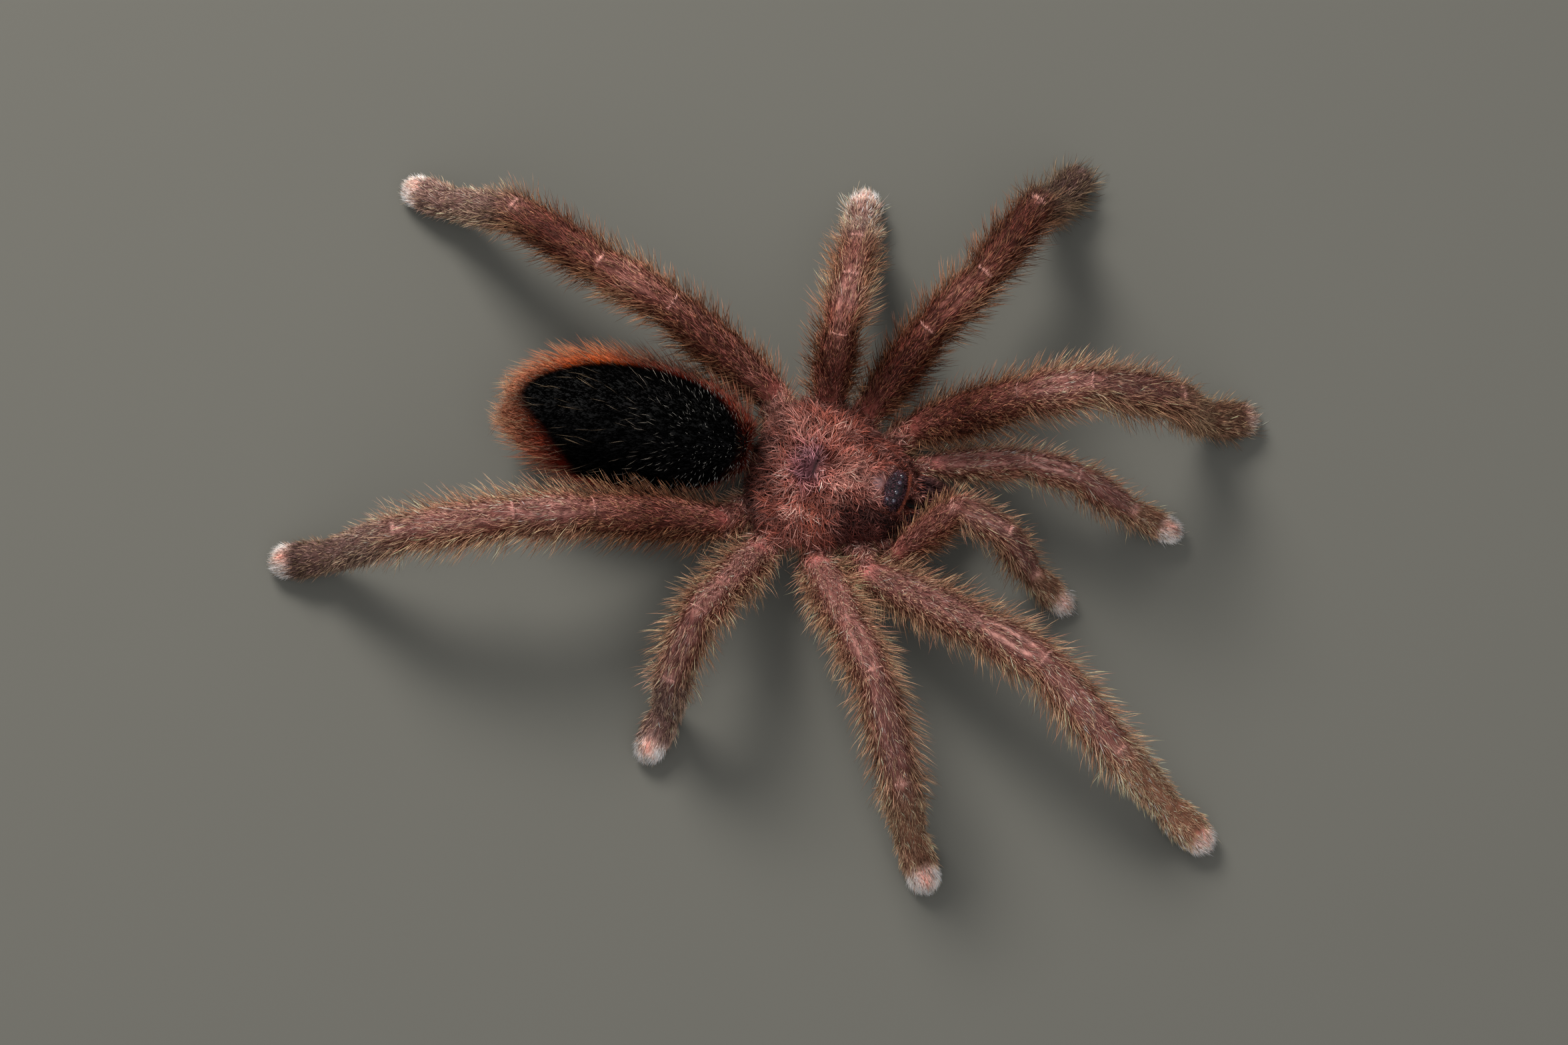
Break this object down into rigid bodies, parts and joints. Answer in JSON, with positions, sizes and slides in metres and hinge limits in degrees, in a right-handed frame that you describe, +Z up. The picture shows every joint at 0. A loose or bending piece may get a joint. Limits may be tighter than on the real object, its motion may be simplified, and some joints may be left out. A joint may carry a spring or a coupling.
{
  "type": "tarantula",
  "caption": "Life-size still model of a pink-toed tarantula standing with its legs spread, hairy all over, with a black oval on its orange-rimmed abdomen.",
  "frame": {"origin": "the middle of the model's floor area, on the floor", "axes": "+X is the way the spider faces, +Y is its left, +Z is up"},
  "size_m": [0.1106, 0.0882, 0.0225],
  "materials": {
    "carapace_skin": "dull skin under radiating copper-red hair",
    "leg_skin": "dull mauve-brown skin with paler bald stripes",
    "foot_skin": "dull grey-brown skin with pink tips",
    "abdomen_skin": "velvet black above, dark red-brown at the sides",
    "underside_skin": "dull dark brown",
    "jaw_skin": "dull dark red with a bloom of hair",
    "tubercle_shell": "black, faintly glossy",
    "fang_horn": "polished black horn",
    "eye_lens": "wet black lens",
    "claw_horn": "polished black horn",
    "body_hair": "soft wavy copper-pink hair",
    "leg_hair": "short mauve-brown pile with long pale-tipped hairs",
    "foot_hair": "grey-pink brush, paler at the tips",
    "abdomen_hair": "black velvet, with a rim of long orange hair"
  },
  "bodies": {
    "root": {"left_front_middle_eye": "eye_lens", "left_front_outer_eye": "eye_lens", "left_rear_middle_eye": "eye_lens", "left_rear_outer_eye": "eye_lens", "right_front_middle_eye": "eye_lens", "right_front_outer_eye": "eye_lens", "right_rear_middle_eye": "eye_lens", "right_rear_outer_eye": "eye_lens", "eye_tubercle": "tubercle_shell", "carapace": "carapace_skin", "abdomen": "abdomen_skin", "left_chelicera": "jaw_skin", "left_fang": "fang_horn", "left_spinneret": "underside_skin", "right_chelicera": "jaw_skin", "right_fang": "fang_horn", "right_spinneret": "underside_skin", "sternum_and_coxae": "underside_skin", "pedicel": "underside_skin", "left_leg_1_femur": "leg_skin", "left_leg_1_patella": "leg_skin", "left_leg_1_tibia": "leg_skin", "left_leg_1_foot": "foot_skin", "left_leg_2_femur": "leg_skin", "left_leg_2_patella": "leg_skin", "left_leg_2_tibia": "leg_skin", "left_leg_2_foot": "foot_skin", "left_leg_3_femur": "leg_skin", "left_leg_3_patella": "leg_skin", "left_leg_3_tibia": "leg_skin", "left_leg_3_foot": "foot_skin", "left_leg_4_femur": "leg_skin", "left_leg_4_patella": "leg_skin", "left_leg_4_tibia": "leg_skin", "left_leg_4_foot": "foot_skin", "left_palp_femur": "leg_skin", "left_palp_patella": "leg_skin", "left_palp_tibia": "leg_skin", "left_palp_tarsus": "foot_skin", "right_leg_1_femur": "leg_skin", "right_leg_1_patella": "leg_skin", "right_leg_1_tibia": "leg_skin", "right_leg_1_foot": "foot_skin", "right_leg_2_femur": "leg_skin", "right_leg_2_patella": "leg_skin", "right_leg_2_tibia": "leg_skin", "right_leg_2_foot": "foot_skin", "right_leg_3_femur": "leg_skin", "right_leg_3_patella": "leg_skin", "right_leg_3_tibia": "leg_skin", "right_leg_3_foot": "foot_skin", "right_leg_4_femur": "leg_skin", "right_leg_4_patella": "leg_skin", "right_leg_4_tibia": "leg_skin", "right_leg_4_foot": "foot_skin", "right_palp_femur": "leg_skin", "right_palp_patella": "leg_skin", "right_palp_tibia": "leg_skin", "right_palp_tarsus": "foot_skin"}
  },
  "joints": []
}
